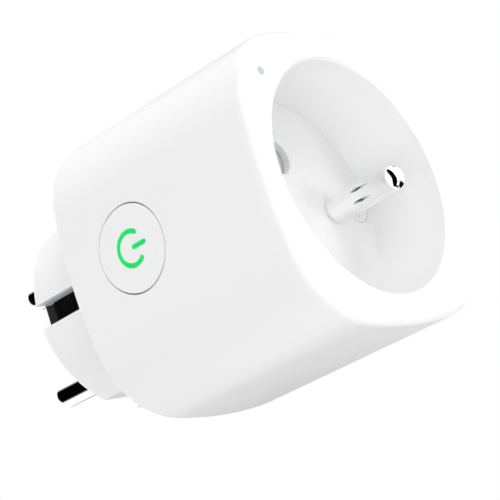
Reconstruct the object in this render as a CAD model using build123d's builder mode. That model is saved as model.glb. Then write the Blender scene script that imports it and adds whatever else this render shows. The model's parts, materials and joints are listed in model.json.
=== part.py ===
from build123d import *
from math import acos, degrees, radians, sin, sqrt
import os

# A smart plug. The hub and pins at the back fit a European wall socket, and the front is a
# French socket with a projecting earth pin.
#
# Frame: the origin is the centre of the pin face, the flat end of the hub that seats in the wall
# socket. +Y points into the wall, +Z is up, and +X is to the right of a person facing the wall.
# Depths are called "forward": millimetres in front of the pin face, towards the room (-Y).

os.makedirs("parts", exist_ok=True)

# ---------------------------------------------------------------- driving dimensions, in mm

# Standard pin geometry
PIN_RADIUS = 2.4
PIN_SPACING = 19.0  # between the line and neutral pins, along Z
PIN_LENGTH = 19.0  # beyond the pin face
PIN_TIP_RADIUS = 1.9  # rounding of a pin's tip
PIN_COLLAR_RADIUS = 2.6  # the part of a rear pin that is held in the plastic
PIN_FLANGE_RADIUS = 3.6  # the shoulder behind the plastic
PIN_FLANGE = 1.2
PIN_SHANK_RADIUS = 1.6  # through the metal strip
RIVET_RADIUS = 2.2  # the shank's spread end
RIVET_HEAD = 0.7
EARTH_OFFSET = 10.0  # earth pin and earth hole, to the right of the centre
POLE_Z = PIN_SPACING / 2

# Hub
HUB_LENGTH = 16.8
HUB_RADIUS = 17.8
HUB_INNER_RADIUS = 16.0
HUB_END_WALL = 2.6
HUB_FLAT_Z = 15.6  # top and bottom flats
HUB_CAVITY_Z = 13.8
HUB_EDGE = 0.35
GUIDE_RIB_WIDTH = 2.6
NOTCH_HALF_WIDTH = 2.1  # side notches over the earth contacts
NOTCH_FLOOR_X = 14.8
EARTH_HOLE_RADIUS = 2.8
SLEEVE_RADIUS = 3.2  # brass sleeve that lines the earth hole
SLEEVE_BACK = 1.0

# Body outside
BODY_REAR = HUB_LENGTH
BODY_DEPTH = 43.4
BODY_FRONT = BODY_REAR + BODY_DEPTH
REAR_HALF_WIDTH = 25.05
SIDE_CROWN_RADIUS = 86.0
CORNER_RADIUS = 15.1
SIDE_DRAFT = 0.6  # degrees that the sides close in towards the front
FRONT_EDGE_RADIUS = 1.2
REAR_EDGE_RADIUS = 1.2

# Body inside
SIDE_WALL = 2.3
FRONT_WALL = 2.4
LIP_INSET = 3.4  # rear opening of the housing, in from its outside
LIP_DEPTH = 3.4
COVER_PLATE = 2.4
COVER_GAP = 0.12
BOSS_RING = 21.95  # centre to each screw boss, on the diagonals
BOSS_RADIUS = 2.05
BOSS_FRONT = 50.0
BOSS_WEB = 1.4
COVER_FRONT = BODY_REAR + COVER_PLATE

# Socket recess
RECESS_RADIUS = 19.7
RECESS_DEPTH = 14.6
RECESS_TUBE_RADIUS = 21.2
RECESS_EDGE = 0.4
FLOOR_THICKNESS = 1.6
FLOOR_FRONT = BODY_FRONT - RECESS_DEPTH
FLOOR_BACK = FLOOR_FRONT - FLOOR_THICKNESS
POLE_HOLE_RADIUS = 2.9
POLE_HOLE_CHAMFER = 0.3
EARTH_PIN_LENGTH = 14.3  # above the socket floor
EARTH_PIN_ROOT_RADIUS = 2.2  # the part held in the floor
EARTH_PIN_RELIEF = 0.1  # bare root between the floor and the full pin

# Fasteners
COVER_SCREW_RADIUS = 0.9
COVER_SCREW_HEAD_RADIUS = 1.9
COVER_SCREW_HEAD = 1.3
COVER_SCREW_LENGTH = 10.0
CROSS_RECESS = (2.0, 0.5, 0.7)  # long, wide, deep
FLOOR_SCREW_X = 16.2
FLOOR_SCREW_RADIUS = 0.8
FLOOR_SCREW_HEAD_RADIUS = 2.0
FLOOR_SCREW_HEAD = 0.6
FLOOR_SCREW_SLOT = (2.6, 0.5, 0.35)  # long, wide, deep
FLOOR_SCREW_POST = 1.4  # the carrier's posts behind its plate
FLOOR_SCREW_POST_RADIUS = 1.8
SCREW_CAP = 0.4
SCREW_CAP_RADIUS = 2.25
CAP_NOTCH_HALF_WIDTH = 0.15  # prying notch in each cap
CAP_NOTCH_DEPTH = 0.25
CAP_NOTCH_Z = (-1.4, -0.85)
COUNTERBORE_RADIUS = 2.35

# Contact carrier and shutter
CARRIER_RADIUS = 19.5
CARRIER_RIM = 1.2
SHUTTER_SPACE = 3.0  # between the socket floor and the carrier plate
CARRIER_PLATE = 1.6
CARRIER_FRONT = FLOOR_BACK - SHUTTER_SPACE
CARRIER_BACK = CARRIER_FRONT - CARRIER_PLATE
TOWER_HALF = 4.2
TOWER_WALL = 0.7
TOWER_BACK = 26.5
SHUTTER_CLEARANCE = 0.2
SHUTTER_PAD_HALF = 3.4
SHUTTER_BRIDGE_X = 0.0  # right edge of the bar between the pads
SPRING_ANCHOR_X = 14.4
SPRING_RADIUS = 1.0
SPRING_WIRE = 0.18
SPRING_COILS = 7
SPRING_END_GAP = 0.05
SPRING_WALL = 0.9
SPRING_WALL_HALF = 1.6
SHUTTER_RAMP_START = 1.6  # the pads slope from here to their left edge
SHUTTER_RAMP_END = 0.9  # height left at the left edge

# Electronics
PCB_FRONT = 23.2
PCB_THICKNESS = 1.6
PCB_BACK = PCB_FRONT - PCB_THICKNESS
PCB_INSET = 4.3
STRIP = 0.8  # thickness of the brass strips
CONTACT_SHEET = 0.6
CONTACT_BORE = 2.5
CONTACT_SLOT_HALF = 0.7
CONTACT_TAIL_HALF = 1.5
CONTACT_END_GAP = 0.2
CONTACT_FOOT = 0.8  # space under each contact in its tower
SOLDER_END = 0.5  # how far tails stand out of the board
PIN_STRIP_BACK = HUB_END_WALL + PIN_FLANGE  # where the busbars lie on the rear pins
BUSBAR_RADIUS = 3.2
BUSBAR_HALF_WIDTH = 1.8
BUSBAR_DROP = 2.6  # pin's centre to the near face of the strip
BRIDGE_LEG_X = 15.5
BRIDGE_HALF_WIDTH = 2.0
BRIDGE_BACK = 14.6
BRIDGE_CORNER = 0.3
LEG_END = 0.6
LEG_BEND = 3.2  # the ends lean inwards from here
LEG_LEAN = 0.3
SLEEVE_SLOT = (6.0, 12.0)
SLEEVE_SLOT_HALF = 0.5
EARTH_LINK_X = 7.0
EARTH_LINK_HALF_WIDTH = 1.6
EARTH_LINK_FOOT_X = 12.0

# Round parts standing on the main board: x, z, radius, height, edge rounding
BULK_CAPACITOR = (-11.6, 10.2, 4.0, 12.0, 0.6)
SUPPLY_INDUCTOR = (-11.4, -11.6, 3.4, 8.0, 0.5)
FUSIBLE_RESISTOR = (8.4, -13.0, 1.6, 9.5, 0.5)

# Other parts on the main board
FILM_CAPACITOR_X = (-15.2, -10.2)
FILM_CAPACITOR_Z = (-7.0, 5.8)
FILM_CAPACITOR_HEIGHT = 11.0
VARISTOR_Z = 18.0
VARISTOR_RADIUS = 5.0
VARISTOR_THICKNESS = 3.6
VARISTOR_HEIGHT = 6.6  # board to the disc's centre
VARISTOR_LEAD_X = 2.5
VARISTOR_LEAD_RADIUS = 0.4
VARISTOR_LEAD = 3.0
RADIO_HALF_X = 12.0
RADIO_HEIGHT = 15.0
RADIO_Z = (-19.6, -18.8)
SHIELD_HALF_X = 8.0
SHIELD_HEIGHT = (1.5, 12.0)
SHIELD_TOP_Z = -16.4
METERING_X = (-12.5, -7.5)
METERING_Z = (-2.0, 2.0)
METERING_HEIGHT = 1.5
RECTIFIER_X = (-12.0, -7.6)
RECTIFIER_Z = (6.0, 10.4)
RECTIFIER_HEIGHT = 1.8

# Button on the left side
BUTTON_FORWARD = 31.9
BUTTON_RADIUS = 6.94
BUTTON_GAP = 0.2
BUTTON_EDGE = 0.15
BUTTON_INNER_X = -23.4
FLANGE_RADIUS = 7.7
FLANGE_X = (-22.0, -21.3)
ICON_RADIUS = 2.68
ICON_STROKE = 0.84
ICON_BAR = 2.4
ICON_BAR_SHIFT = 1.78  # middle of the bar, forward of the ring's centre
ICON_OPENING = 52  # degrees each side of the gap's middle
ICON_SUNK = 0.12  # below the button's face
BOARD_X = (-19.0, -18.0)
SWITCH_X = (-20.6, -19.0)
SWITCH_HALF = 2.6
SWITCH_FLOOR = 0.2
PLUNGER_RADIUS = 1.0
PLUNGER_CLEARANCE = 0.08
PLUNGER_X = (-21.25, -19.85)
BUTTON_WALL = 1.0
GUIDE_DISC = 0.9
GUIDE_DISC_RADIUS = 5.79
GUIDE_STEM_RADIUS = 1.4
BOARD_HALF_Z = 8.0
LED_Z = 4.6
LED_HALF_FORWARD = 0.8
LED_HALF_Z = 0.6
LED_HEIGHT = 0.8
HEADER_HALF_Z = 5.0
HEADER_SIZE = 2.2

# Status light at the front's upper left corner
STATUS_X = -16.75
STATUS_Z = 16.65
STATUS_RADIUS = 0.7
STATUS_FOOT_RADIUS = 1.1
STATUS_FOOT_BACK = 52.0
STATUS_LED_HALF_X = 0.8
STATUS_LED_HALF_Z = 0.6
STATUS_LED_HEIGHT = 1.0
LED_BOARD_RING = 23.05
LED_BOARD_SIZE = (3.0, 6.0)
LED_BOARD_THICKNESS = 0.8

# Relay, on the right of the main board
RELAY_X = (11.2, 21.4)
RELAY_Z = (-9.2, 9.2)
RELAY_TOP = 36.8
RELAY_BASE = 1.0
RELAY_WALL = 0.5
RELAY_MID_X = sum(RELAY_X) / 2
IRON = 0.8  # thickness of the yoke and armature
YOKE_BACK = 24.4
YOKE_Z = (-6.0, 3.4)
CORE_Z = -2.6
CORE_RADIUS = 1.5
CORE_FRONT = 33.8
BOBBIN_FRONT = 33.2
BOBBIN_RADIUS = 2.1
BOBBIN_FLANGE_RADIUS = 4.2
BOBBIN_FLANGE = 0.8
COIL_RADIUS = 3.9
ARMATURE_HALF_X = 3.0
ARMATURE_BACK = 34.3
ARMATURE_Z = (-6.0, 4.6)
LEAF_HALF_X = 1.5
LEAF_BACK = 27.0
LEAF_Z = (4.1, 4.5)
CONTACT_FORWARD = 28.4
CONTACT_RADIUS = 1.1
MOVING_CONTACT = 0.7  # height of its button
FIXED_CONTACT_Z = (5.6, 6.4)
FIXED_STRIP_FRONT = 30.0
FIXED_STRIP_Z = (6.4, 6.9)
PIVOT_FORWARD = 34.0
PIVOT_Z = 3.0
PIVOT_RADIUS = 0.5
PIVOT_CLEARANCE = 0.06


# ---------------------------------------------------------------- shared shapes

def level(forward):
    """Plane parallel to the wall, facing the room, this far forward of the pin face."""
    return Plane.XZ.offset(forward)


def side_plane(x):
    """Plane of the left side, facing outwards, on the button's axis: x forward, y up."""
    return Plane(origin=(x, -BUTTON_FORWARD, 0), x_dir=(0, -1, 0), z_dir=(-1, 0, 0))


def rod(x, z, start, end, radius, mode=Mode.ADD):
    """Round bar square to the wall, between two forward depths."""
    with Locations((x, -(start + end) / 2, z)):
        Cylinder(radius, end - start, rotation=(90, 0, 0), mode=mode)


def side_rod(start_x, end_x, radius, mode=Mode.ADD):
    """Round bar on the button's axis, between two values of x."""
    with Locations(((start_x + end_x) / 2, -BUTTON_FORWARD, 0)):
        Cylinder(radius, abs(end_x - start_x), rotation=(0, 90, 0), mode=mode)


def post(forward, z_low, z_high, radius):
    """Round bar along Z in the middle of the relay."""
    with Locations((RELAY_MID_X, -forward, (z_low + z_high) / 2)):
        Cylinder(radius, z_high - z_low)


def pivot_bar(radius, length, mode=Mode.ADD):
    """Round bar on the relay armature's tilting axis."""
    with Locations((RELAY_MID_X, -PIVOT_FORWARD, PIVOT_Z)):
        Cylinder(radius, length, rotation=(0, 90, 0), mode=mode)


def standing(shape):
    """Round part on the main board with a rounded top: x, z, radius, height, rounding."""
    x, z, radius, height, rounding = shape
    rod(x, z, PCB_FRONT, PCB_FRONT + height, radius)
    fillet(edges().group_by(Axis.Y)[0], rounding)


def block(x, forward, z, mode=Mode.ADD):
    """Rectangular block from its low and high x, forward depth and z."""
    with Locations((sum(x) / 2, -sum(forward) / 2, sum(z) / 2)):
        Box(x[1] - x[0], forward[1] - forward[0], z[1] - z[0], mode=mode)


def body_outline(inset=0):
    """Crowned square seen from the front: four shallow side arcs, four tangent corner arcs."""
    reach = SIDE_CROWN_RADIUS - CORNER_RADIUS
    half_side = degrees(acos((SIDE_CROWN_RADIUS - REAR_HALF_WIDTH) / (sqrt(2) * reach))) - 45
    corner = reach * sin(radians(half_side))
    side_centre = REAR_HALF_WIDTH - SIDE_CROWN_RADIUS
    with BuildSketch() as outline:
        with BuildLine():
            for turn in range(4):
                quarter = 90 * turn
                side = Vector(side_centre, 0).rotate(Axis.Z, quarter)
                CenterArc(side, SIDE_CROWN_RADIUS - inset, quarter - half_side, 2 * half_side)
                middle = Vector(corner, corner).rotate(Axis.Z, quarter)
                CenterArc(middle, CORNER_RADIUS - inset, quarter + half_side, 90 - 2 * half_side)
        make_face()
    return outline.sketch


def icon_outline():
    """Power symbol, open towards the front of the body."""
    with BuildSketch() as icon:
        ring = CenterArc((0, 0), ICON_RADIUS, ICON_OPENING, 360 - 2 * ICON_OPENING,
                         mode=Mode.PRIVATE)
        SlotArc(ring, ICON_STROKE)
        with Locations((ICON_BAR_SHIFT, 0)):
            SlotCenterToCenter(ICON_BAR, ICON_STROKE)
    return icon.sketch


with BuildPart() as body_form:  # the body's outside shape as one solid, shared by housing and button
    with BuildSketch(level(BODY_REAR)):
        add(body_outline())
    extrude(amount=BODY_DEPTH, taper=SIDE_DRAFT)
    fillet(faces().sort_by(Axis.Y)[0].edges(), FRONT_EDGE_RADIUS)
    fillet(faces().sort_by(Axis.Y)[-1].edges(), REAR_EDGE_RADIUS)


# ---------------------------------------------------------------- shells and their fasteners

with BuildPart() as outer_housing:
    add(body_form.part)
    cavity_rear = BODY_REAR + LIP_DEPTH
    with BuildSketch(level(cavity_rear)):
        add(body_outline(SIDE_WALL))
    extrude(amount=BODY_FRONT - FRONT_WALL - cavity_rear, taper=SIDE_DRAFT, mode=Mode.SUBTRACT)
    with BuildSketch(level(BODY_REAR)):
        add(body_outline(LIP_INSET))
    extrude(amount=LIP_DEPTH, mode=Mode.SUBTRACT)
    # Recess tube, screw bosses and the webs that tie each boss to its corner
    with BuildSketch(level(FLOOR_FRONT)):
        Circle(RECESS_TUBE_RADIUS)
    extrude(amount=BODY_FRONT - FRONT_WALL / 2 - FLOOR_FRONT)
    with BuildSketch(level(COVER_FRONT)):
        with PolarLocations(BOSS_RING, 4, start_angle=45):
            Circle(BOSS_RADIUS)
        with PolarLocations(BOSS_RING + BOSS_RADIUS, 4, start_angle=45):
            Rectangle(2 * BOSS_RADIUS, BOSS_WEB)
    extrude(amount=BOSS_FRONT - COVER_FRONT)
    with BuildSketch(level(COVER_FRONT)):
        with PolarLocations(BOSS_RING, 4, start_angle=45):
            Circle(COVER_SCREW_RADIUS)
    extrude(amount=COVER_SCREW_LENGTH, mode=Mode.SUBTRACT)
    # Recess, button hole and status light hole
    rod(0, 0, FLOOR_FRONT, BODY_FRONT + 1, RECESS_RADIUS, Mode.SUBTRACT)
    mouth = edges().filter_by(GeomType.CIRCLE).filter_by_position(Axis.Y, -BODY_FRONT, -BODY_FRONT)
    chamfer(mouth, RECESS_EDGE)
    side_rod(-REAR_HALF_WIDTH - 1, -RECESS_TUBE_RADIUS, BUTTON_RADIUS + BUTTON_GAP, Mode.SUBTRACT)
    button_mouth = edges(Select.LAST).filter_by(lambda edge: edge.center().X < BUTTON_INNER_X - 0.5)
    fillet(button_mouth, BUTTON_EDGE)
    rod(STATUS_X, STATUS_Z, BODY_FRONT - FRONT_WALL - 1, BODY_FRONT + 1, STATUS_RADIUS, Mode.SUBTRACT)
outer_housing.part.label = "outer_housing"
export_step(outer_housing.part, "parts/outer_housing.step")

with BuildPart() as rear_cover:
    with BuildSketch(level(BODY_REAR)):
        add(body_outline(LIP_INSET + COVER_GAP))
    extrude(amount=COVER_PLATE)
    with BuildSketch(level(0)):
        Circle(HUB_RADIUS)
        Rectangle(3 * HUB_RADIUS, 2 * HUB_FLAT_Z, mode=Mode.INTERSECT)
    extrude(amount=HUB_LENGTH)
    with BuildSketch(level(0)):  # guide ribs in the middle of the top and bottom flats
        Circle(HUB_RADIUS)
        Rectangle(GUIDE_RIB_WIDTH, 3 * HUB_RADIUS, mode=Mode.INTERSECT)
    extrude(amount=HUB_LENGTH)
    rim = edges().group_by(Axis.Y)[-1]
    chamfer(rim, HUB_EDGE)
    with BuildSketch(level(HUB_END_WALL)):
        Circle(HUB_INNER_RADIUS)
        Rectangle(3 * HUB_RADIUS, 2 * HUB_CAVITY_Z, mode=Mode.INTERSECT)
    extrude(amount=COVER_FRONT - HUB_END_WALL, mode=Mode.SUBTRACT)
    for side in (-1, 1):  # notches over the side earth contacts, open at the pin face
        notch_x = sorted((side * NOTCH_FLOOR_X, side * (HUB_RADIUS + 1)))
        notch_z = (-NOTCH_HALF_WIDTH, NOTCH_HALF_WIDTH)
        block(notch_x, (-1, HUB_LENGTH), notch_z, Mode.SUBTRACT)
        rod(0, side * POLE_Z, -1, HUB_END_WALL + 1, PIN_COLLAR_RADIUS, Mode.SUBTRACT)
    rod(EARTH_OFFSET, 0, -1, HUB_END_WALL, EARTH_HOLE_RADIUS, Mode.SUBTRACT)
    rod(EARTH_OFFSET, 0, SLEEVE_BACK, HUB_END_WALL, SLEEVE_RADIUS, Mode.SUBTRACT)
    with BuildSketch(level(BODY_REAR)):
        with PolarLocations(BOSS_RING, 4, start_angle=45):
            Circle(COVER_SCREW_RADIUS + 0.3)
    extrude(amount=COVER_PLATE, mode=Mode.SUBTRACT)
    with BuildSketch(level(BODY_REAR)):
        with PolarLocations(BOSS_RING, 4, start_angle=45):
            Circle(COVER_SCREW_HEAD_RADIUS + 0.1)
    extrude(amount=COVER_SCREW_HEAD + 0.1, mode=Mode.SUBTRACT)
rear_cover.part.label = "rear_cover"
export_step(rear_cover.part, "parts/rear_cover.step")

with BuildPart() as cover_screws:
    head_front = BODY_REAR + COVER_SCREW_HEAD + 0.1
    with BuildSketch(level(BODY_REAR + 0.1)):
        with PolarLocations(BOSS_RING, 4, start_angle=45):
            Circle(COVER_SCREW_HEAD_RADIUS)
    extrude(amount=COVER_SCREW_HEAD)
    with BuildSketch(level(head_front)):
        with PolarLocations(BOSS_RING, 4, start_angle=45):
            Circle(COVER_SCREW_RADIUS)
    extrude(amount=COVER_SCREW_LENGTH)
    with BuildSketch(level(BODY_REAR + 0.1)):  # cross recess
        with PolarLocations(BOSS_RING, 4, start_angle=45):
            Rectangle(CROSS_RECESS[0], CROSS_RECESS[1])
            Rectangle(CROSS_RECESS[1], CROSS_RECESS[0])
    extrude(amount=CROSS_RECESS[2], mode=Mode.SUBTRACT)
cover_screws.part.label = "cover_screws"
export_step(cover_screws.part, "parts/cover_screws.step")


# ---------------------------------------------------------------- socket floor and its fasteners

with BuildPart() as socket_floor:
    with BuildSketch(level(FLOOR_BACK)):
        Circle(RECESS_TUBE_RADIUS)
        with PolarLocations(BOSS_RING, 4, start_angle=45):
            Circle(BOSS_RADIUS + 0.15, mode=Mode.SUBTRACT)
        with Locations((EARTH_OFFSET, 0)):
            Circle(EARTH_PIN_ROOT_RADIUS, mode=Mode.SUBTRACT)
        with Locations((0, POLE_Z), (0, -POLE_Z)):
            Circle(POLE_HOLE_RADIUS, mode=Mode.SUBTRACT)
    extrude(amount=FLOOR_THICKNESS)
    pole_rims = edges().filter_by(GeomType.CIRCLE).filter_by(
        lambda edge: abs(edge.radius - POLE_HOLE_RADIUS) < 0.01).group_by(Axis.Y)[0]
    chamfer(pole_rims, POLE_HOLE_CHAMFER)
    for x in (-FLOOR_SCREW_X, FLOOR_SCREW_X):
        rod(x, 0, FLOOR_BACK, FLOOR_FRONT, FLOOR_SCREW_RADIUS + 0.3, Mode.SUBTRACT)
        rod(x, 0, FLOOR_FRONT - FLOOR_SCREW_HEAD - SCREW_CAP, FLOOR_FRONT, COUNTERBORE_RADIUS,
            Mode.SUBTRACT)
socket_floor.part.label = "socket_floor"
export_step(socket_floor.part, "parts/socket_floor.step")

with BuildPart() as floor_screws:
    head_back = FLOOR_FRONT - SCREW_CAP - FLOOR_SCREW_HEAD
    for x in (-FLOOR_SCREW_X, FLOOR_SCREW_X):
        rod(x, 0, head_back, FLOOR_FRONT - SCREW_CAP, FLOOR_SCREW_HEAD_RADIUS)
        rod(x, 0, CARRIER_BACK - FLOOR_SCREW_POST + 0.2, head_back, FLOOR_SCREW_RADIUS)
        with Locations((x, -(FLOOR_FRONT - SCREW_CAP - FLOOR_SCREW_SLOT[2] / 2), 0)):
            Box(FLOOR_SCREW_SLOT[0], FLOOR_SCREW_SLOT[2], FLOOR_SCREW_SLOT[1], mode=Mode.SUBTRACT)
floor_screws.part.label = "floor_screws"
export_step(floor_screws.part, "parts/floor_screws.step")

with BuildPart() as floor_screw_caps:
    for x in (-FLOOR_SCREW_X, FLOOR_SCREW_X):
        rod(x, 0, FLOOR_FRONT - SCREW_CAP, FLOOR_FRONT, SCREW_CAP_RADIUS)
        notch_x = (x - CAP_NOTCH_HALF_WIDTH, x + CAP_NOTCH_HALF_WIDTH)
        block(notch_x, (FLOOR_FRONT - CAP_NOTCH_DEPTH, FLOOR_FRONT), CAP_NOTCH_Z, Mode.SUBTRACT)
floor_screw_caps.part.label = "floor_screw_caps"
export_step(floor_screw_caps.part, "parts/floor_screw_caps.step")

with BuildPart() as earth_pin:
    tip = FLOOR_FRONT + EARTH_PIN_LENGTH
    rod(EARTH_OFFSET, 0, FLOOR_FRONT + EARTH_PIN_RELIEF, tip, PIN_RADIUS)
    fillet(edges().group_by(Axis.Y)[0], PIN_TIP_RADIUS)
    rod(EARTH_OFFSET, 0, FLOOR_BACK, FLOOR_FRONT + EARTH_PIN_RELIEF, EARTH_PIN_ROOT_RADIUS)
    rod(EARTH_OFFSET, 0, FLOOR_BACK - PIN_FLANGE, FLOOR_BACK, PIN_FLANGE_RADIUS)
    rod(EARTH_OFFSET, 0, CARRIER_BACK - STRIP, FLOOR_BACK - PIN_FLANGE, PIN_SHANK_RADIUS)
    rod(EARTH_OFFSET, 0, CARRIER_BACK - STRIP - RIVET_HEAD, CARRIER_BACK - STRIP, RIVET_RADIUS)
earth_pin.part.label = "earth_pin"
export_step(earth_pin.part, "parts/earth_pin.step")


# ---------------------------------------------------------------- carrier, shutter and contacts

with BuildPart() as contact_carrier:
    rod(0, 0, CARRIER_BACK, CARRIER_FRONT, CARRIER_RADIUS)
    rod(0, 0, CARRIER_FRONT, FLOOR_BACK, CARRIER_RADIUS)
    rod(0, 0, CARRIER_FRONT, FLOOR_BACK, CARRIER_RADIUS - CARRIER_RIM, Mode.SUBTRACT)
    for x in (-FLOOR_SCREW_X, FLOOR_SCREW_X):
        rod(x, 0, CARRIER_BACK - FLOOR_SCREW_POST, FLOOR_BACK, FLOOR_SCREW_POST_RADIUS)
        rod(x, 0, CARRIER_BACK - FLOOR_SCREW_POST, FLOOR_BACK, FLOOR_SCREW_RADIUS, Mode.SUBTRACT)
    spring_wall_z = (POLE_Z - SPRING_WALL_HALF, POLE_Z + SPRING_WALL_HALF)
    spring_wall_x = (SPRING_ANCHOR_X, SPRING_ANCHOR_X + SPRING_WALL)
    block(spring_wall_x, (CARRIER_FRONT, FLOOR_BACK), spring_wall_z)
    inner = TOWER_HALF - TOWER_WALL
    for side in (-1, 1):
        pole = side * POLE_Z
        tower_forward = (TOWER_BACK, CARRIER_BACK)
        block((-TOWER_HALF, TOWER_HALF), tower_forward, (pole - TOWER_HALF, pole + TOWER_HALF))
        block((-inner, inner), tower_forward, (pole - inner, pole + inner), Mode.SUBTRACT)
        rod(0, pole, CARRIER_BACK, CARRIER_FRONT, POLE_HOLE_RADIUS, Mode.SUBTRACT)
    rod(EARTH_OFFSET, 0, CARRIER_BACK, CARRIER_FRONT, PIN_SHANK_RADIUS, Mode.SUBTRACT)
contact_carrier.part.label = "contact_carrier"
export_step(contact_carrier.part, "parts/contact_carrier.step")

with BuildPart() as safety_shutter:
    shutter_back = CARRIER_FRONT + SHUTTER_CLEARANCE
    shutter_front = FLOOR_BACK - SHUTTER_CLEARANCE
    bridge_end = POLE_Z - SHUTTER_PAD_HALF
    block((-SHUTTER_PAD_HALF, SHUTTER_BRIDGE_X), (shutter_back, shutter_front),
          (-bridge_end, bridge_end))
    for side in (-1, 1):
        # A wedge pad under each pole hole: a pin pressing the slope drives the shutter right.
        with BuildSketch(Plane.XY.offset(side * POLE_Z - SHUTTER_PAD_HALF)):
            with BuildLine():
                Polyline((SHUTTER_PAD_HALF, -shutter_back), (SHUTTER_PAD_HALF, -shutter_front),
                         (SHUTTER_RAMP_START, -shutter_front),
                         (-SHUTTER_PAD_HALF, -shutter_back - SHUTTER_RAMP_END),
                         (-SHUTTER_PAD_HALF, -shutter_back), close=True)
            make_face()
        extrude(amount=2 * SHUTTER_PAD_HALF)
safety_shutter.part.label = "safety_shutter"
export_step(safety_shutter.part, "parts/safety_shutter.step")

with BuildPart() as shutter_spring:
    spring_end = SPRING_WIRE + SPRING_END_GAP
    spring_length = SPRING_ANCHOR_X - SHUTTER_PAD_HALF - 2 * spring_end
    spring_start = (SHUTTER_PAD_HALF + spring_end, -(CARRIER_FRONT + FLOOR_BACK) / 2, POLE_Z)
    with BuildLine():
        coil = Helix(spring_length / SPRING_COILS, spring_length, SPRING_RADIUS,
                     center=spring_start, direction=(1, 0, 0))
    with BuildSketch(Plane(origin=coil @ 0, z_dir=coil % 0)):
        Circle(SPRING_WIRE)
    sweep()
shutter_spring.part.label = "shutter_spring"
export_step(shutter_spring.part, "parts/shutter_spring.step")

for name, side in (("line_contact", 1), ("neutral_contact", -1)):
    pole = side * POLE_Z
    outer = CONTACT_BORE + CONTACT_SHEET
    with BuildPart() as contact:  # slotted sleeve that grips a pin, with a tail to the board
        sleeve_back = TOWER_BACK + CONTACT_FOOT
        sleeve_front = CARRIER_BACK - CONTACT_END_GAP
        rod(0, pole, sleeve_back, sleeve_front, outer)
        tail_x = (-CONTACT_TAIL_HALF, CONTACT_TAIL_HALF)
        tail_z = sorted((pole + side * CONTACT_BORE, pole + side * outer))
        block(tail_x, (PCB_BACK - SOLDER_END, sleeve_back + 1), tail_z)
        rod(0, pole, sleeve_back, sleeve_front, CONTACT_BORE, Mode.SUBTRACT)
        slot_z = sorted((pole - side, pole - side * (outer + 1)))
        slot_x = (-CONTACT_SLOT_HALF, CONTACT_SLOT_HALF)
        block(slot_x, (TOWER_BACK, CARRIER_BACK), slot_z, Mode.SUBTRACT)
    contact.part.label = name
    export_step(contact.part, f"parts/{name}.step")


# ---------------------------------------------------------------- rear pins and earth metalwork

for name, side in (("line_pin", 1), ("neutral_pin", -1)):
    with BuildPart() as pin:
        rod(0, side * POLE_Z, -PIN_LENGTH, 0, PIN_RADIUS)
        fillet(edges().group_by(Axis.Y)[-1], PIN_TIP_RADIUS)
        rod(0, side * POLE_Z, 0, HUB_END_WALL, PIN_COLLAR_RADIUS)
        rod(0, side * POLE_Z, HUB_END_WALL, PIN_STRIP_BACK, PIN_FLANGE_RADIUS)
        rod(0, side * POLE_Z, PIN_STRIP_BACK, PIN_STRIP_BACK + STRIP, PIN_SHANK_RADIUS)
        rod(0, side * POLE_Z, PIN_STRIP_BACK + STRIP, PIN_STRIP_BACK + STRIP + RIVET_HEAD, RIVET_RADIUS)
    pin.part.label = name
    export_step(pin.part, f"parts/{name}.step")

for name, side in (("line_busbar", 1), ("neutral_busbar", -1)):
    pole = side * POLE_Z
    with BuildPart() as busbar:  # ring under the pin's rivet head and a strip to the board
        rod(0, pole, PIN_STRIP_BACK, PIN_STRIP_BACK + STRIP, BUSBAR_RADIUS)
        strip_x = (-BUSBAR_HALF_WIDTH, BUSBAR_HALF_WIDTH)
        strip_z = sorted((pole - side * BUSBAR_DROP, pole - side * (BUSBAR_DROP + STRIP)))
        block(strip_x, (PIN_STRIP_BACK, PCB_FRONT + SOLDER_END), strip_z)
        rod(0, pole, PIN_STRIP_BACK, PIN_STRIP_BACK + STRIP, PIN_SHANK_RADIUS, Mode.SUBTRACT)
    busbar.part.label = name
    export_step(busbar.part, f"parts/{name}.step")

with BuildPart() as earth_bridge:
    # U-shaped strip: its legs are the earth contacts in the hub's side notches, and their ends
    # lean inwards.
    leg_x = (BRIDGE_LEG_X, BRIDGE_LEG_X + STRIP)
    bridge_front = BRIDGE_BACK + STRIP
    bridge_z = (-BRIDGE_HALF_WIDTH, BRIDGE_HALF_WIDTH)
    block((-leg_x[1], leg_x[1]), (BRIDGE_BACK, bridge_front), bridge_z)
    for side in (-1, 1):
        inner_x, outer_x = side * leg_x[0], side * leg_x[1]
        lean = side * LEG_LEAN
        with BuildSketch(Plane.XY.offset(-BRIDGE_HALF_WIDTH)):
            with BuildLine():
                Polyline((inner_x, -bridge_front), (outer_x, -bridge_front), (outer_x, -LEG_BEND),
                         (outer_x - lean, -LEG_END), (inner_x - lean, -LEG_END),
                         (inner_x, -LEG_BEND), close=True)
            make_face()
        extrude(amount=2 * BRIDGE_HALF_WIDTH)
    fillet(edges().group_by(Axis.Y)[-1].filter_by(Axis.Z), BRIDGE_CORNER)
earth_bridge.part.label = "earth_bridge"
export_step(earth_bridge.part, "parts/earth_bridge.step")

with BuildPart() as earth_socket_sleeve:
    rod(EARTH_OFFSET, 0, SLEEVE_BACK, BRIDGE_BACK, SLEEVE_RADIUS)
    rod(EARTH_OFFSET, 0, SLEEVE_BACK, BRIDGE_BACK, CONTACT_BORE, Mode.SUBTRACT)
    sleeve_slot_x = (EARTH_OFFSET - SLEEVE_RADIUS - 1, EARTH_OFFSET)
    block(sleeve_slot_x, SLEEVE_SLOT, (-SLEEVE_SLOT_HALF, SLEEVE_SLOT_HALF), Mode.SUBTRACT)
earth_socket_sleeve.part.label = "earth_socket_sleeve"
export_step(earth_socket_sleeve.part, "parts/earth_socket_sleeve.step")

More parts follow.
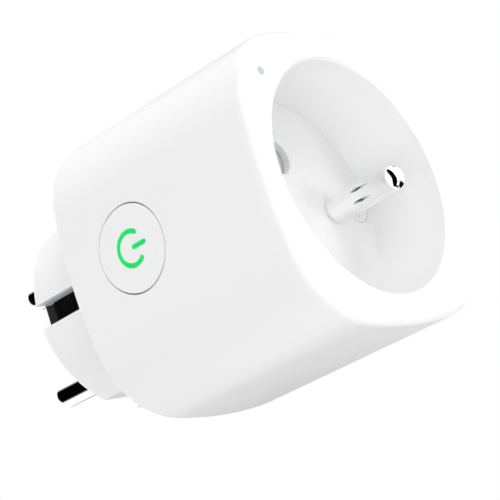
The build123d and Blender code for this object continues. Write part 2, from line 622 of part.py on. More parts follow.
with BuildPart() as earth_link:
    # Joins the front earth pin to the bridge: ring, long strip, foot.
    link_x = (EARTH_LINK_X, EARTH_LINK_X + STRIP)
    link_z = (-EARTH_LINK_HALF_WIDTH, EARTH_LINK_HALF_WIDTH)
    rod(EARTH_OFFSET, 0, CARRIER_BACK - STRIP, CARRIER_BACK, EARTH_OFFSET - EARTH_LINK_X)
    block(link_x, (bridge_front, CARRIER_BACK), link_z)
    block((EARTH_LINK_X, EARTH_LINK_FOOT_X), (bridge_front, bridge_front + STRIP), link_z)
    rod(EARTH_OFFSET, 0, CARRIER_BACK - STRIP, CARRIER_BACK, PIN_SHANK_RADIUS, Mode.SUBTRACT)
earth_link.part.label = "earth_link"
export_step(earth_link.part, "parts/earth_link.step")


# ---------------------------------------------------------------- main board and its parts

with BuildPart() as main_pcb:
    with BuildSketch(level(PCB_BACK)):
        add(body_outline(PCB_INSET))
        with PolarLocations(BOSS_RING, 4, start_angle=45):
            Circle(BOSS_RADIUS + 0.4, mode=Mode.SUBTRACT)
        for side in (-1, 1):
            with Locations((0, side * (POLE_Z + CONTACT_BORE + CONTACT_SHEET / 2))):
                Rectangle(2 * CONTACT_TAIL_HALF + 0.2, CONTACT_SHEET + 0.2, mode=Mode.SUBTRACT)
            with Locations((0, side * (POLE_Z - BUSBAR_DROP - STRIP / 2))):
                Rectangle(2 * BUSBAR_HALF_WIDTH + 0.2, STRIP + 0.2, mode=Mode.SUBTRACT)
        with Locations((sum(link_x) / 2, 0)):
            Rectangle(STRIP + 0.6, 2 * EARTH_LINK_HALF_WIDTH + 0.6, mode=Mode.SUBTRACT)
    extrude(amount=PCB_THICKNESS)
main_pcb.part.label = "main_pcb"
export_step(main_pcb.part, "parts/main_pcb.step")

with BuildPart() as relay_base:
    block(RELAY_X, (PCB_FRONT, PCB_FRONT + RELAY_BASE), RELAY_Z)
relay_base.part.label = "relay_base"
export_step(relay_base.part, "parts/relay_base.step")

relay_floor = PCB_FRONT + RELAY_BASE

with BuildPart() as relay_case:
    block(RELAY_X, (relay_floor, RELAY_TOP), RELAY_Z)
    fillet(edges().filter_by(Axis.Y), 0.5)
    block((RELAY_X[0] + RELAY_WALL, RELAY_X[1] - RELAY_WALL), (relay_floor, RELAY_TOP - RELAY_WALL),
          (RELAY_Z[0] + RELAY_WALL, RELAY_Z[1] - RELAY_WALL), Mode.SUBTRACT)
relay_case.part.label = "relay_case"
export_step(relay_case.part, "parts/relay_case.step")

yoke_x = (RELAY_MID_X - ARMATURE_HALF_X, RELAY_MID_X + ARMATURE_HALF_X)
yoke_front = YOKE_BACK + IRON

with BuildPart() as relay_yoke:  # L-shaped iron, with the coil's core standing on its foot
    block(yoke_x, (YOKE_BACK, yoke_front), YOKE_Z)
    block(yoke_x, (yoke_front, PIVOT_FORWARD), (YOKE_Z[1] - IRON, YOKE_Z[1]))
    pivot_bar(PIVOT_RADIUS, 2 * ARMATURE_HALF_X)
    rod(RELAY_MID_X, CORE_Z, yoke_front, CORE_FRONT, CORE_RADIUS)
relay_yoke.part.label = "relay_yoke"
export_step(relay_yoke.part, "parts/relay_yoke.step")

with BuildPart() as relay_bobbin:
    rod(RELAY_MID_X, CORE_Z, yoke_front, BOBBIN_FRONT, BOBBIN_RADIUS)
    rod(RELAY_MID_X, CORE_Z, yoke_front, yoke_front + BOBBIN_FLANGE, BOBBIN_FLANGE_RADIUS)
    rod(RELAY_MID_X, CORE_Z, BOBBIN_FRONT - BOBBIN_FLANGE, BOBBIN_FRONT, BOBBIN_FLANGE_RADIUS)
    rod(RELAY_MID_X, CORE_Z, yoke_front, BOBBIN_FRONT, CORE_RADIUS, Mode.SUBTRACT)
relay_bobbin.part.label = "relay_bobbin"
export_step(relay_bobbin.part, "parts/relay_bobbin.step")

with BuildPart() as relay_coil:
    coil_ends = (yoke_front + BOBBIN_FLANGE, BOBBIN_FRONT - BOBBIN_FLANGE)
    rod(RELAY_MID_X, CORE_Z, coil_ends[0], coil_ends[1], COIL_RADIUS)
    rod(RELAY_MID_X, CORE_Z, coil_ends[0], coil_ends[1], BOBBIN_RADIUS, Mode.SUBTRACT)
relay_coil.part.label = "relay_coil"
export_step(relay_coil.part, "parts/relay_coil.step")

with BuildPart() as relay_armature:
    block(yoke_x, (ARMATURE_BACK, ARMATURE_BACK + IRON), ARMATURE_Z)
    pivot_bar(PIVOT_RADIUS + PIVOT_CLEARANCE, 3 * ARMATURE_HALF_X, Mode.SUBTRACT)
relay_armature.part.label = "relay_armature"
export_step(relay_armature.part, "parts/relay_armature.step")

leaf_x = (RELAY_MID_X - LEAF_HALF_X, RELAY_MID_X + LEAF_HALF_X)

with BuildPart() as relay_moving_contact:
    # Spring leaf hung from the armature, with a contact button facing the fixed one.
    block(leaf_x, (LEAF_BACK, ARMATURE_BACK), LEAF_Z)
    post(CONTACT_FORWARD, LEAF_Z[1], LEAF_Z[1] + MOVING_CONTACT, CONTACT_RADIUS)
relay_moving_contact.part.label = "relay_moving_contact"
export_step(relay_moving_contact.part, "parts/relay_moving_contact.step")

with BuildPart() as relay_fixed_contact:
    post(CONTACT_FORWARD, FIXED_CONTACT_Z[0], FIXED_CONTACT_Z[1], CONTACT_RADIUS)
    block(leaf_x, (relay_floor, FIXED_STRIP_FRONT), FIXED_STRIP_Z)
relay_fixed_contact.part.label = "relay_fixed_contact"
export_step(relay_fixed_contact.part, "parts/relay_fixed_contact.step")

with BuildPart() as bulk_capacitor:
    standing(BULK_CAPACITOR)
bulk_capacitor.part.label = "bulk_capacitor"
export_step(bulk_capacitor.part, "parts/bulk_capacitor.step")

with BuildPart() as film_capacitor:
    film_forward = (PCB_FRONT, PCB_FRONT + FILM_CAPACITOR_HEIGHT)
    block(FILM_CAPACITOR_X, film_forward, FILM_CAPACITOR_Z)
    fillet(edges().filter_by(Axis.Y), 0.5)
film_capacitor.part.label = "film_capacitor"
export_step(film_capacitor.part, "parts/film_capacitor.step")

with BuildPart() as supply_inductor:
    standing(SUPPLY_INDUCTOR)
supply_inductor.part.label = "supply_inductor"
export_step(supply_inductor.part, "parts/supply_inductor.step")

with BuildPart() as varistor:
    with Locations((0, -PCB_FRONT - VARISTOR_HEIGHT, VARISTOR_Z)):
        Cylinder(VARISTOR_RADIUS, VARISTOR_THICKNESS)
    fillet(edges().filter_by(GeomType.CIRCLE), 1.2)
    for x in (-VARISTOR_LEAD_X, VARISTOR_LEAD_X):
        rod(x, VARISTOR_Z, PCB_FRONT, PCB_FRONT + VARISTOR_LEAD, VARISTOR_LEAD_RADIUS)
varistor.part.label = "varistor"
export_step(varistor.part, "parts/varistor.step")

with BuildPart() as fusible_resistor:
    standing(FUSIBLE_RESISTOR)
fusible_resistor.part.label = "fusible_resistor"
export_step(fusible_resistor.part, "parts/fusible_resistor.step")

with BuildPart() as radio_module:
    block((-RADIO_HALF_X, RADIO_HALF_X), (PCB_FRONT, PCB_FRONT + RADIO_HEIGHT), RADIO_Z)
radio_module.part.label = "radio_module"
export_step(radio_module.part, "parts/radio_module.step")

with BuildPart() as radio_shield:
    shield_forward = (PCB_FRONT + SHIELD_HEIGHT[0], PCB_FRONT + SHIELD_HEIGHT[1])
    block((-SHIELD_HALF_X, SHIELD_HALF_X), shield_forward, (RADIO_Z[1], SHIELD_TOP_Z))
    fillet(edges().filter_by(Axis.Z), 0.6)
radio_shield.part.label = "radio_shield"
export_step(radio_shield.part, "parts/radio_shield.step")

with BuildPart() as metering_chip:
    block(METERING_X, (PCB_BACK - METERING_HEIGHT, PCB_BACK), METERING_Z)
metering_chip.part.label = "metering_chip"
export_step(metering_chip.part, "parts/metering_chip.step")

with BuildPart() as bridge_rectifier:
    block(RECTIFIER_X, (PCB_BACK - RECTIFIER_HEIGHT, PCB_BACK), RECTIFIER_Z)
bridge_rectifier.part.label = "bridge_rectifier"
export_step(bridge_rectifier.part, "parts/bridge_rectifier.step")


# ---------------------------------------------------------------- button, switch and lights

with BuildPart() as power_button:
    add(body_form.part)
    side_rod(-REAR_HALF_WIDTH - 1, FLANGE_X[0], BUTTON_RADIUS, Mode.INTERSECT)
    fillet(edges().filter_by(lambda edge: edge.center().X < BUTTON_INNER_X - 0.5), BUTTON_EDGE)
    side_rod(FLANGE_X[0], FLANGE_X[1], FLANGE_RADIUS)
    side_rod(BUTTON_INNER_X, FLANGE_X[1], BUTTON_RADIUS - BUTTON_WALL, Mode.SUBTRACT)
    with BuildSketch(side_plane(BUTTON_INNER_X)):
        add(icon_outline())
    extrude(amount=REAR_HALF_WIDTH + 1 + BUTTON_INNER_X, mode=Mode.SUBTRACT)
power_button.part.label = "power_button"
export_step(power_button.part, "parts/power_button.step")

with BuildPart() as icon_light_guide:
    with BuildSketch(side_plane(BUTTON_INNER_X)):
        add(icon_outline())
    extrude(amount=REAR_HALF_WIDTH + 1 + BUTTON_INNER_X)
    add(body_form.part.moved(Location((ICON_SUNK, 0, 0))), mode=Mode.INTERSECT)
    disc_back = BUTTON_INNER_X + GUIDE_DISC
    side_rod(BUTTON_INNER_X, disc_back, GUIDE_DISC_RADIUS)
    side_rod(disc_back, PLUNGER_X[0], GUIDE_STEM_RADIUS)
icon_light_guide.part.label = "icon_light_guide"
export_step(icon_light_guide.part, "parts/icon_light_guide.step")

with BuildPart() as switch_plunger:
    side_rod(PLUNGER_X[0], PLUNGER_X[1], PLUNGER_RADIUS)
switch_plunger.part.label = "switch_plunger"
export_step(switch_plunger.part, "parts/switch_plunger.step")

with BuildPart() as switch_body:
    block(SWITCH_X, (BUTTON_FORWARD - SWITCH_HALF, BUTTON_FORWARD + SWITCH_HALF),
          (-SWITCH_HALF, SWITCH_HALF))
    fillet(edges().filter_by(Axis.X), 0.4)
    plunger_bore = PLUNGER_RADIUS + PLUNGER_CLEARANCE
    side_rod(SWITCH_X[0], SWITCH_X[1] - SWITCH_FLOOR, plunger_bore, Mode.SUBTRACT)
switch_body.part.label = "switch_body"
export_step(switch_body.part, "parts/switch_body.step")

with BuildPart() as button_board:
    block(BOARD_X, (PCB_FRONT, CARRIER_BACK - 0.4), (-BOARD_HALF_Z, BOARD_HALF_Z))
button_board.part.label = "button_board"
export_step(button_board.part, "parts/button_board.step")

with BuildPart() as button_leds:
    led_forward = (BUTTON_FORWARD - LED_HALF_FORWARD, BUTTON_FORWARD + LED_HALF_FORWARD)
    for z in (-LED_Z, LED_Z):
        block((BOARD_X[0] - LED_HEIGHT, BOARD_X[0]), led_forward, (z - LED_HALF_Z, z + LED_HALF_Z))
button_leds.part.label = "button_leds"
export_step(button_leds.part, "parts/button_leds.step")

with BuildPart() as board_header:
    header_x = (BOARD_X[1], BOARD_X[1] + HEADER_SIZE)
    block(header_x, (PCB_FRONT, PCB_FRONT + HEADER_SIZE), (-HEADER_HALF_Z, HEADER_HALF_Z))
board_header.part.label = "board_header"
export_step(board_header.part, "parts/board_header.step")

with BuildPart() as status_light_pipe:
    rod(STATUS_X, STATUS_Z, STATUS_FOOT_BACK, BODY_FRONT - FRONT_WALL, STATUS_FOOT_RADIUS)
    rod(STATUS_X, STATUS_Z, BODY_FRONT - FRONT_WALL, BODY_FRONT, STATUS_RADIUS)
status_light_pipe.part.label = "status_light_pipe"
export_step(status_light_pipe.part, "parts/status_light_pipe.step")

with BuildPart() as led_board:
    with BuildSketch(level(BOSS_FRONT)):
        with PolarLocations(LED_BOARD_RING, 1, start_angle=135):
            Rectangle(LED_BOARD_SIZE[0], LED_BOARD_SIZE[1])
    extrude(amount=LED_BOARD_THICKNESS)
led_board.part.label = "led_board"
export_step(led_board.part, "parts/led_board.step")

with BuildPart() as status_led:
    led_back = BOSS_FRONT + LED_BOARD_THICKNESS
    block((STATUS_X - STATUS_LED_HALF_X, STATUS_X + STATUS_LED_HALF_X),
          (led_back, led_back + STATUS_LED_HEIGHT),
          (STATUS_Z - STATUS_LED_HALF_Z, STATUS_Z + STATUS_LED_HALF_Z))
status_led.part.label = "status_led"
export_step(status_led.part, "parts/status_led.step")
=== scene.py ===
import json
import math

import bmesh
import bpy
from mathutils import Matrix, Vector


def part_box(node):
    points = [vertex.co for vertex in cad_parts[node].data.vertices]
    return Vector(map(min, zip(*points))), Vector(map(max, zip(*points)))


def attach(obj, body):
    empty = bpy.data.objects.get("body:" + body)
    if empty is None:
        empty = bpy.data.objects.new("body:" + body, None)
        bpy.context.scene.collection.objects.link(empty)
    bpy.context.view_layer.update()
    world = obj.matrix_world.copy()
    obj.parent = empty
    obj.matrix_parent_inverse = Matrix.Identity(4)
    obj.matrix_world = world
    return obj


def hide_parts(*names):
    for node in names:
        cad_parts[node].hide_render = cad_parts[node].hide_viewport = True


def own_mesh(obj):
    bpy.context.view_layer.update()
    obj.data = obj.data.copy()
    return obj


# A smart plug, seen from its left front and a little below, in soft white studio light.
# Metres throughout, in the frame's own axes: +Y into the wall, +Z up, +X to the viewer's right.

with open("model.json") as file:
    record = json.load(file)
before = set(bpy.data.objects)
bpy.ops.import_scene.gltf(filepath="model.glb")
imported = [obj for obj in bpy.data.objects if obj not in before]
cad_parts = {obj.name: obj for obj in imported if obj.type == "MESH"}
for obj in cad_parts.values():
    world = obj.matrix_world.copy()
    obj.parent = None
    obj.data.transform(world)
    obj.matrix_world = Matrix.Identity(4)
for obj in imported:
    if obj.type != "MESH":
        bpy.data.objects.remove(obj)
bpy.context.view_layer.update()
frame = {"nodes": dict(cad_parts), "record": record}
NODES = frame["nodes"]
MM = 0.001


# ---------------------------------------------------------------- node tree helpers

class Tree:
    """Short calls for building one node tree."""

    def __init__(self, tree):
        self.tree = tree
        self.nodes = tree.nodes
        tree.nodes.clear()

    def add(self, kind, settings=None, **inputs):
        """New node; settings are its properties, inputs its sockets by name or by number."""
        node = self.nodes.new(kind)
        for key, value in (settings or {}).items():
            setattr(node, key, value)
        for key, value in inputs.items():
            socket = node.inputs[int(key[1:]) if key[0] == "n" and key[1:].isdigit() else key]
            self.feed(socket, value)
        return node

    def feed(self, socket, value):
        if isinstance(value, bpy.types.NodeSocket):
            self.tree.links.new(value, socket)
        else:
            socket.default_value = value


def math_node(tree, operation, *values):
    """Result of a Math node on one or two values."""
    inputs = {f"n{place}": value for place, value in enumerate(values)}
    return tree.add("ShaderNodeMath", {"operation": operation}, **inputs).outputs[0]


def new_material(name):
    material = bpy.data.materials.new(name)
    material.use_nodes = True
    tree = Tree(material.node_tree)
    shader = tree.add("ShaderNodeBsdfPrincipled")
    output = tree.add("ShaderNodeOutputMaterial")
    tree.feed(output.inputs["Surface"], shader.outputs["BSDF"])
    return material, tree, shader


def shades(tree, factor, dark, light):
    """Colour that runs from dark to light as factor goes from 0 to 1."""
    mix = tree.add("ShaderNodeMix", {"data_type": "RGBA"})
    tree.feed(mix.inputs[0], factor)
    tree.feed(mix.inputs[6], (*dark, 1))
    tree.feed(mix.inputs[7], (*light, 1))
    return mix.outputs[2]


def noise(tree, size, detail=2.0, roughness=0.5, stretch=(1, 1, 1)):
    """Noise from 0 to 1 whose features are about this many metres across."""
    place = tree.add("ShaderNodeTexCoord").outputs["Object"]
    mapping = tree.add("ShaderNodeMapping", Vector=place, Scale=stretch)
    texture = tree.add("ShaderNodeTexNoise", Vector=mapping.outputs["Vector"], Scale=1 / size,
                       Detail=detail, Roughness=roughness)
    return texture.outputs["Fac"]


def span(tree, value, low, high, source=(0.3, 0.7)):
    """Value rescaled from its source range to low..high, held inside it."""
    ranged = tree.add("ShaderNodeMapRange", Value=value)
    for key, number in (("From Min", source[0]), ("From Max", source[1]),
                        ("To Min", low), ("To Max", high)):
        ranged.inputs[key].default_value = number
    return ranged.outputs["Result"]


# ---------------------------------------------------------------- materials

PLASTIC_CLOUD = 9 * MM  # sizes of the features in each finish
PLASTIC_SHEEN = 3 * MM
PLASTIC_GRAIN = 0.12 * MM
METAL_CLOUD = 1.5 * MM
DRAW_MARK = 0.05 * MM
DRAW_MARK_RELIEF = 0.002 * MM
DRAW_MARK_STRETCH = 0.04  # scale along the marks, so they are 25 times longer than wide


def moulded_plastic(name, colour, roughness, relief=0.012 * MM, shift=0.02, depth=None):
    """Spark-finished moulding: fine grain, faint cloudiness, and scattering to a depth if given."""
    material, tree, shader = new_material(name)
    cloud = noise(tree, PLASTIC_CLOUD, 3.0)
    dark = [channel * (1 - shift) for channel in colour]
    tree.feed(shader.inputs["Base Color"], shades(tree, cloud, dark, colour))
    patches = noise(tree, PLASTIC_SHEEN, 4.0)
    tree.feed(shader.inputs["Roughness"], span(tree, patches, roughness - 0.04, roughness + 0.04))
    fine = noise(tree, PLASTIC_GRAIN, 3.0, 0.6)
    bump = tree.add("ShaderNodeBump", Height=fine, Strength=0.35, Distance=relief)
    tree.feed(shader.inputs["Normal"], bump.outputs["Normal"])
    if depth:
        shader.inputs["Subsurface Weight"].default_value = 0.15
        shader.inputs["Subsurface Radius"].default_value = (1.0, 0.95, 0.9)
        shader.inputs["Subsurface Scale"].default_value = depth
    return material


def plated_metal(name, colour, roughness, along="y"):
    """Bright plating: uneven polish and faint draw marks along an axis, or even marks if none."""
    material, tree, shader = new_material(name)
    shader.inputs["Metallic"].default_value = 1.0
    stretch = [DRAW_MARK_STRETCH if axis == along else 1 for axis in "xyz"]
    streaks = noise(tree, DRAW_MARK, 3.0, 0.6, stretch)
    cloud = noise(tree, METAL_CLOUD, 3.0)
    dark = [channel * 0.96 for channel in colour]
    tree.feed(shader.inputs["Base Color"], shades(tree, cloud, dark, colour))
    tree.feed(shader.inputs["Roughness"], span(tree, streaks, roughness * 0.7, roughness * 1.4))
    bump = tree.add("ShaderNodeBump", Height=streaks, Strength=0.3,
                    Distance=DRAW_MARK_RELIEF)
    tree.feed(shader.inputs["Normal"], bump.outputs["Normal"])
    return material


def lit_icon(name):
    """Translucent green insert lit from behind, a little brighter in patches."""
    material, tree, shader = new_material(name)
    glow = noise(tree, 1.2 * MM, 2.0)
    tree.feed(shader.inputs["Base Color"], shades(tree, glow, (0.0, 0.12, 0.02), (0.0, 0.18, 0.04)))
    tree.feed(shader.inputs["Emission Color"],
              shades(tree, glow, (0.004, 0.66, 0.12), (0.012, 0.80, 0.17)))
    shader.inputs["Emission Strength"].default_value = 0.84
    shader.inputs["Specular IOR Level"].default_value = 0.25
    shader.inputs["Roughness"].default_value = 0.35
    bump = tree.add("ShaderNodeBump", Height=noise(tree, 0.1 * MM), Strength=0.2, Distance=0.01 * MM)
    tree.feed(shader.inputs["Normal"], bump.outputs["Normal"])
    return material


def circuit_board(name):
    """Green solder mask over copper tracks, which show as slightly paler lines."""
    material, tree, shader = new_material(name)
    place = tree.add("ShaderNodeTexCoord").outputs["Object"]
    tracks = tree.add("ShaderNodeTexBrick", {"offset": 0.5}, Vector=place, Scale=180.0)
    tracks.inputs["Mortar Size"].default_value = 0.08
    tree.feed(shader.inputs["Base Color"],
              shades(tree, tracks.outputs["Fac"], (0.012, 0.11, 0.045), (0.03, 0.2, 0.08)))
    tree.feed(shader.inputs["Roughness"], span(tree, noise(tree, 1 * MM), 0.3, 0.45))
    bump = tree.add("ShaderNodeBump", Height=tracks.outputs["Fac"], Strength=0.4, Distance=0.03 * MM)
    tree.feed(shader.inputs["Normal"], bump.outputs["Normal"])
    return material


def wound_copper(name):
    """Enamelled copper wire wound around the Y axis."""
    material, tree, shader = new_material(name)
    place = tree.add("ShaderNodeTexCoord").outputs["Object"]
    turns = tree.add("ShaderNodeTexWave", {"bands_direction": "Y"}, Vector=place, Scale=1500.0)
    shader.inputs["Metallic"].default_value = 1.0
    tree.feed(shader.inputs["Base Color"],
              shades(tree, turns.outputs["Fac"], (0.35, 0.12, 0.04), (0.78, 0.36, 0.16)))
    tree.feed(shader.inputs["Roughness"], span(tree, noise(tree, 0.5 * MM), 0.25, 0.4))
    bump = tree.add("ShaderNodeBump", Height=turns.outputs["Fac"], Strength=0.6, Distance=0.05 * MM)
    tree.feed(shader.inputs["Normal"], bump.outputs["Normal"])
    return material


def make_materials():
    """One material for each material slot of the record."""
    white = (0.88, 0.88, 0.883)
    return {
        "shell": moulded_plastic("shell", white, 0.42, depth=0.4 * MM),
        "icon": lit_icon("icon"),
        "light_pipe": moulded_plastic("light_pipe", (0.52, 0.55, 0.58), 0.25, relief=0.004 * MM),
        "plated_pin": plated_metal("plated_pin", (0.97, 0.97, 0.97), 0.07),
        "plated_strip": plated_metal("plated_strip", (0.60, 0.61, 0.63), 0.10),
        "screw_steel": plated_metal("screw_steel", (0.62, 0.62, 0.63), 0.25, along=""),
        "shutter_grey": moulded_plastic("shutter_grey", (0.74, 0.80, 0.79), 0.45),
        "spring_steel": plated_metal("spring_steel", (0.55, 0.55, 0.56), 0.25, along=""),
        "contact_brass": plated_metal("contact_brass", (0.78, 0.58, 0.26), 0.22),
        "carrier_plastic": moulded_plastic("carrier_plastic", (0.80, 0.79, 0.75), 0.5, shift=0.05),
        "board": circuit_board("board"),
        "relay_plastic": moulded_plastic("relay_plastic", (0.03, 0.08, 0.24), 0.4, shift=0.1),
        "relay_iron": plated_metal("relay_iron", (0.5, 0.5, 0.5), 0.35, along=""),
        "coil_copper": wound_copper("coil_copper"),
        "capacitor_sleeve": moulded_plastic("capacitor_sleeve", (0.02, 0.02, 0.035), 0.3, shift=0.2),
        "film_box": moulded_plastic("film_box", (0.68, 0.5, 0.1), 0.35, shift=0.06),
        "inductor_sleeve": moulded_plastic("inductor_sleeve", (0.03, 0.03, 0.03), 0.35, shift=0.2),
        "varistor_coat": moulded_plastic("varistor_coat", (0.04, 0.14, 0.42), 0.25, shift=0.1),
        "resistor_coat": moulded_plastic("resistor_coat", (0.12, 0.32, 0.24), 0.55, shift=0.1),
        "shield_can": plated_metal("shield_can", (0.66, 0.66, 0.67), 0.3, along="x"),
        "chip_epoxy": moulded_plastic("chip_epoxy", (0.02, 0.02, 0.02), 0.5, shift=0.2),
        "switch_black": moulded_plastic("switch_black", (0.03, 0.03, 0.03), 0.45, shift=0.2),
        "plunger_white": moulded_plastic("plunger_white", (0.85, 0.85, 0.83), 0.4),
        "led_clear": moulded_plastic("led_clear", (0.85, 0.84, 0.62), 0.2, shift=0.08),
    }


def dress_nodes(materials):
    """Gives every CAD node the material of its slot."""
    for part in frame["record"]["subparts"]:
        node = NODES[part["node"]]
        node.data.materials.clear()
        node.data.materials.append(materials[part["material_slot"]])


# ---------------------------------------------------------------- shutter spring

SPRING_TURNS = 7
SPRING_WIRE = 0.18 * MM
STEPS_A_TURN = 32
WIRE_SIDES = 10


def add_shutter_spring(material):
    """Coil spring of round wire, built where the CAD shutter spring sits, which it hides."""
    low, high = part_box("shutter_spring")
    middle_y, middle_z = (low[1] + high[1]) / 2, (low[2] + high[2]) / 2
    radius = (high[2] - low[2]) / 2 - SPRING_WIRE
    start, end = low[0] + SPRING_WIRE, high[0] - SPRING_WIRE
    steps = SPRING_TURNS * STEPS_A_TURN
    points = []
    for step in range(steps + 1):
        turn = 2 * math.pi * step / STEPS_A_TURN
        out = Vector((0, math.sin(turn), math.cos(turn)))
        along = start + (end - start) * step / steps
        centre = Vector((along, middle_y, middle_z)) + out * radius
        for side in range(WIRE_SIDES):
            angle = 2 * math.pi * side / WIRE_SIDES
            across = out * math.cos(angle) + Vector((1, 0, 0)) * math.sin(angle)
            points.append(centre + across * SPRING_WIRE)
    faces = []
    for step in range(steps):
        for side in range(WIRE_SIDES):
            here, beside = step * WIRE_SIDES + side, step * WIRE_SIDES + (side + 1) % WIRE_SIDES
            faces.append((here, beside, beside + WIRE_SIDES, here + WIRE_SIDES))
    faces.append(tuple(reversed(range(WIRE_SIDES))))
    faces.append(tuple(range(steps * WIRE_SIDES, (steps + 1) * WIRE_SIDES)))
    mesh = bpy.data.meshes.new("coil_spring")
    mesh.from_pydata(points, [], faces)
    mesh.polygons.foreach_set("use_smooth", [True] * len(mesh.polygons))
    mesh.materials.append(material)
    spring = bpy.data.objects.new("coil_spring", mesh)
    bpy.context.scene.collection.objects.link(spring)
    recalc = bmesh.new()
    recalc.from_mesh(mesh)
    bmesh.ops.recalc_face_normals(recalc, faces=recalc.faces)
    recalc.to_mesh(mesh)
    recalc.free()
    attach(spring, "root")
    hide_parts("shutter_spring")
    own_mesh(spring)


# ---------------------------------------------------------------- camera, light and floor

AZIMUTH = math.radians(-51.215)  # 0 looks along +Y, 90 degrees looks along -X
ELEVATION = math.radians(-12.95)  # below the plug, looking up
ROLL = math.radians(18.43)
AIM = Vector((0.0, -34.0, -2.0)) * MM
DISTANCE = 260.65 * MM
LENS = 114.54  # millimetres, on the sensor's width
SENSOR_WIDTH = 36
CLIP_START = 10 * MM


def add_camera():
    data = bpy.data.cameras.new("camera")
    data.lens = LENS
    data.sensor_width = SENSOR_WIDTH
    data.clip_start = CLIP_START
    camera = bpy.data.objects.new("camera", data)
    level = math.cos(ELEVATION)
    away = Vector((math.sin(AZIMUTH) * level, -math.cos(AZIMUTH) * level, math.sin(ELEVATION)))
    turn = away.to_track_quat("Z", "Y").to_matrix() @ Matrix.Rotation(-ROLL, 3, "Z")
    camera.matrix_world = Matrix.Translation(AIM + away * DISTANCE) @ turn.to_4x4()
    bpy.context.scene.collection.objects.link(camera)
    bpy.context.scene.camera = camera


# Softboxes: name, direction from the plug, distance and side in metres, watts
SOFTBOXES = (
    ("back_left", (-0.6, 0.8, 0.0), 0.8, 0.5, 3.0),
    ("front_up", (0.0, -0.7, 0.7), 0.8, 0.5, 2.6),
    ("left_low", (-0.8, -0.5, -0.35), 0.8, 0.5, 1.8),
    ("left_front", (-0.7, -0.7, 0.0), 0.8, 0.5, 1.45),
    ("top", (0.0, 0.0, 1.0), 0.8, 0.5, 1.2),
    ("left_up", (-0.6, -0.6, 0.5), 0.8, 0.5, 1.1),
    ("back_up", (-0.3, 0.6, 0.7), 0.8, 0.5, 0.9),
    ("front_low", (0.55, -1.0, -0.45), 0.8, 0.25, 0.2),
    ("low_front", (0.0, -0.6, -0.8), 0.28, 0.25, 0.27),
    ("low", (0.0, 0.0, -1.0), 0.28, 0.25, 0.12),
    ("key", (6.0, -14.6, -3.0), 0.8, 0.08, 0.52),
    ("key_high", (7.5, -14.6, -1.5), 0.8, 0.08, 0.18))
# Broad glow of the studio's walls: direction and strength, over an even glow
GLOW = (((1, 0, 0), 0.7), ((0, 1, 0), 0.25), ((0, 0, -1), 0.1))
EVEN_GLOW = 0.1


def add_softbox(name, direction, distance, side, power):
    """Square light aimed at the plug. Metal doesn't mirror it, and no view shows it."""
    data = bpy.data.lights.new(name, "AREA")
    data.size = side
    data.energy = power
    light = bpy.data.objects.new(name, data)
    away = Vector(direction).normalized()
    turn = away.to_track_quat("Z", "Y").to_matrix().to_4x4()
    light.matrix_world = Matrix.Translation(AIM + away * distance) @ turn
    light.visible_glossy = False
    light.visible_camera = False
    bpy.context.scene.collection.objects.link(light)


# The white tent that metal mirrors. Angles are in degrees as seen from the plug: azimuth from -Y
# towards +X, and elevation.
TENT_WHITE = 1.25
SLIT_AZIMUTH = -8.0  # at the plug's own height
SLIT_HALF_WIDTH = 25.0
SLIT_ELEVATIONS = (-70.0, 75.0)
SLIT_LEAN_ABOVE = (65, -27.0)  # elevation, and the azimuth that the slit has moved by there
SLIT_LEAN_BELOW = (-50, -7.0)
SLIT_EDGE = 6.0
# Dark flags: azimuth of the middle, half width, lowest and highest elevation, width of the edges.
# The last four, high and low on both sides, outline the pins in views from the side.
FLAGS = [(62.0, 28.0, -48.0, -9.0, 8.0),
         (15.0, 40.0, -66.0, -50.0, 8.0),
         (83.0, 10.0, 38.0, 54.0, 8.0),
         (-141.0, 16.0, -50.0, 35.0, 14.0),
         (130.0, 8.0, -60.0, 60.0, 8.0)]
for flag_azimuth in (100.0, -100.0):
    FLAGS.append((flag_azimuth, 14.0, -72.0, -40.0, 8.0))
    FLAGS.append((flag_azimuth, 14.0, 40.0, 72.0, 8.0))


def dark_flag(tree, azimuth, elevation, middle, half, low, high, edge):
    """1 inside a dark flag, 0 outside it, blended over its edge; middle may be a node's result."""
    offset = math_node(tree, "ABSOLUTE", math_node(tree, "SUBTRACT", azimuth, middle))
    across = span(tree, offset, 1.0, 0.0, (half - edge / 2, half + edge / 2))
    over_low = span(tree, elevation, 0.0, 1.0, (low - edge / 2, low + edge / 2))
    under_high = span(tree, elevation, 1.0, 0.0, (high - edge / 2, high + edge / 2))
    return math_node(tree, "MULTIPLY", across, math_node(tree, "MULTIPLY", over_low, under_high))


def mirrored_studio(tree, direction):
    """Strength of the tent in a direction: white, with a leaning dark slit in front and flags."""
    parts = tree.add("ShaderNodeSeparateXYZ", Vector=direction)
    front = math_node(tree, "MULTIPLY", parts.outputs["Y"], -1.0)
    azimuth = math_node(tree, "DEGREES", math_node(tree, "ARCTAN2", parts.outputs["X"], front))
    elevation = math_node(tree, "DEGREES", math_node(tree, "ARCSINE", parts.outputs["Z"]))
    top, lean_above = SLIT_LEAN_ABOVE
    bottom, lean_below = SLIT_LEAN_BELOW
    above = span(tree, elevation, 0.0, lean_above, (0, top))
    below = span(tree, elevation, lean_below, 0.0, (bottom, 0))
    slit = math_node(tree, "ADD", math_node(tree, "ADD", above, below), SLIT_AZIMUTH)
    dark = dark_flag(tree, azimuth, elevation, slit, SLIT_HALF_WIDTH, *SLIT_ELEVATIONS, SLIT_EDGE)
    for flag in FLAGS:
        dark = math_node(tree, "MAXIMUM", dark, dark_flag(tree, azimuth, elevation, *flag))
    return span(tree, dark, TENT_WHITE, 0.0, (0, 1))


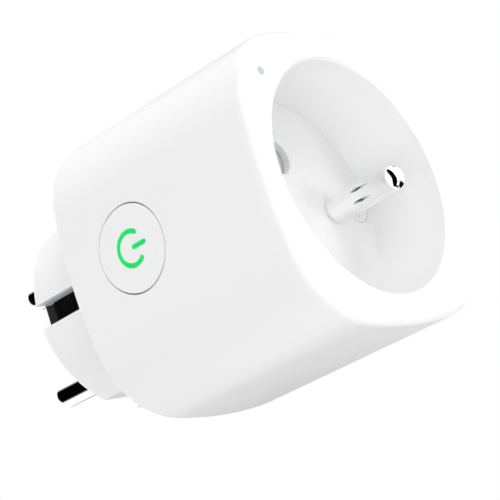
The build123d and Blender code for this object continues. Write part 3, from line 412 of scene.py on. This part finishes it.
def add_world():
    """White studio: the glow for matt surfaces, the tent for shiny ones, plain white behind."""
    world = bpy.data.worlds.new("studio")
    world.use_nodes = True
    bpy.context.scene.world = world
    tree = Tree(world.node_tree)
    direction = tree.add("ShaderNodeTexCoord").outputs["Generated"]
    glow = EVEN_GLOW
    for axis, strength in GLOW:
        lobe = tree.add("ShaderNodeVectorMath", {"operation": "DOT_PRODUCT"}, n0=direction, n1=axis)
        lobe = math_node(tree, "MAXIMUM", lobe.outputs["Value"], 0.0)
        glow = math_node(tree, "MULTIPLY_ADD", lobe, strength, glow)
    path = tree.add("ShaderNodeLightPath")
    surfaces = (glow, mirrored_studio(tree, direction), 1.0)
    shaders = [tree.add("ShaderNodeBackground", Color=(1, 1, 1, 1), Strength=strength).outputs[0]
               for strength in surfaces]
    seen = shaders[0]
    for flag, shader in (("Is Glossy Ray", shaders[1]), ("Is Camera Ray", shaders[2])):
        choose = tree.add("ShaderNodeMixShader")
        tree.feed(choose.inputs[0], path.outputs[flag])
        tree.feed(choose.inputs[1], seen)
        tree.feed(choose.inputs[2], shader)
        seen = choose.outputs[0]
    output = tree.add("ShaderNodeOutputWorld")
    tree.feed(output.inputs["Surface"], seen)


FLOOR_Z = -0.60  # low enough for cameras that look up at the plug
FLOOR_REACH = 3.0
FLOOR_GRAIN = 0.2
FLOOR_GLOW = (0.1, 0.8)  # emission near and far
FLOOR_GLOW_RANGE = (0.2, 1.6)  # distances from the origin where it starts and stops growing


def add_floor():
    """Plain pale floor, which glows where the softboxes don't reach."""
    mesh = bpy.data.meshes.new("floor")
    corners = [(x * FLOOR_REACH, y * FLOOR_REACH, FLOOR_Z)
               for x, y in ((-1, -1), (1, -1), (1, 1), (-1, 1))]
    mesh.from_pydata(corners, [], [(0, 1, 2, 3)])
    floor = bpy.data.objects.new("floor", mesh)
    bpy.context.scene.collection.objects.link(floor)
    material, tree, shader = new_material("floor")
    tree.feed(shader.inputs["Base Color"],
              shades(tree, noise(tree, FLOOR_GRAIN), (0.80, 0.80, 0.80), (0.84, 0.84, 0.84)))
    shader.inputs["Roughness"].default_value = 0.8
    place = tree.add("ShaderNodeTexCoord").outputs["Object"]
    away = tree.add("ShaderNodeVectorMath", {"operation": "LENGTH"}, n0=place).outputs["Value"]
    shader.inputs["Emission Color"].default_value = (1, 1, 1, 1)
    tree.feed(shader.inputs["Emission Strength"], span(tree, away, *FLOOR_GLOW, FLOOR_GLOW_RANGE))
    mesh.materials.append(material)
    # It is scenery only, and casts no light or shadow on the plug
    floor.visible_glossy = False
    floor.visible_diffuse = False
    floor.visible_shadow = False


def plain_view():
    """Shows colours as they are, with no film curve."""
    settings = bpy.context.scene.view_settings
    settings.view_transform = "Standard"
    settings.look = "None"


add_camera()
add_world()
add_floor()
for softbox in SOFTBOXES:
    add_softbox(*softbox)
plain_view()
materials = make_materials()
dress_nodes(materials)
add_shutter_spring(materials["spring_steel"])
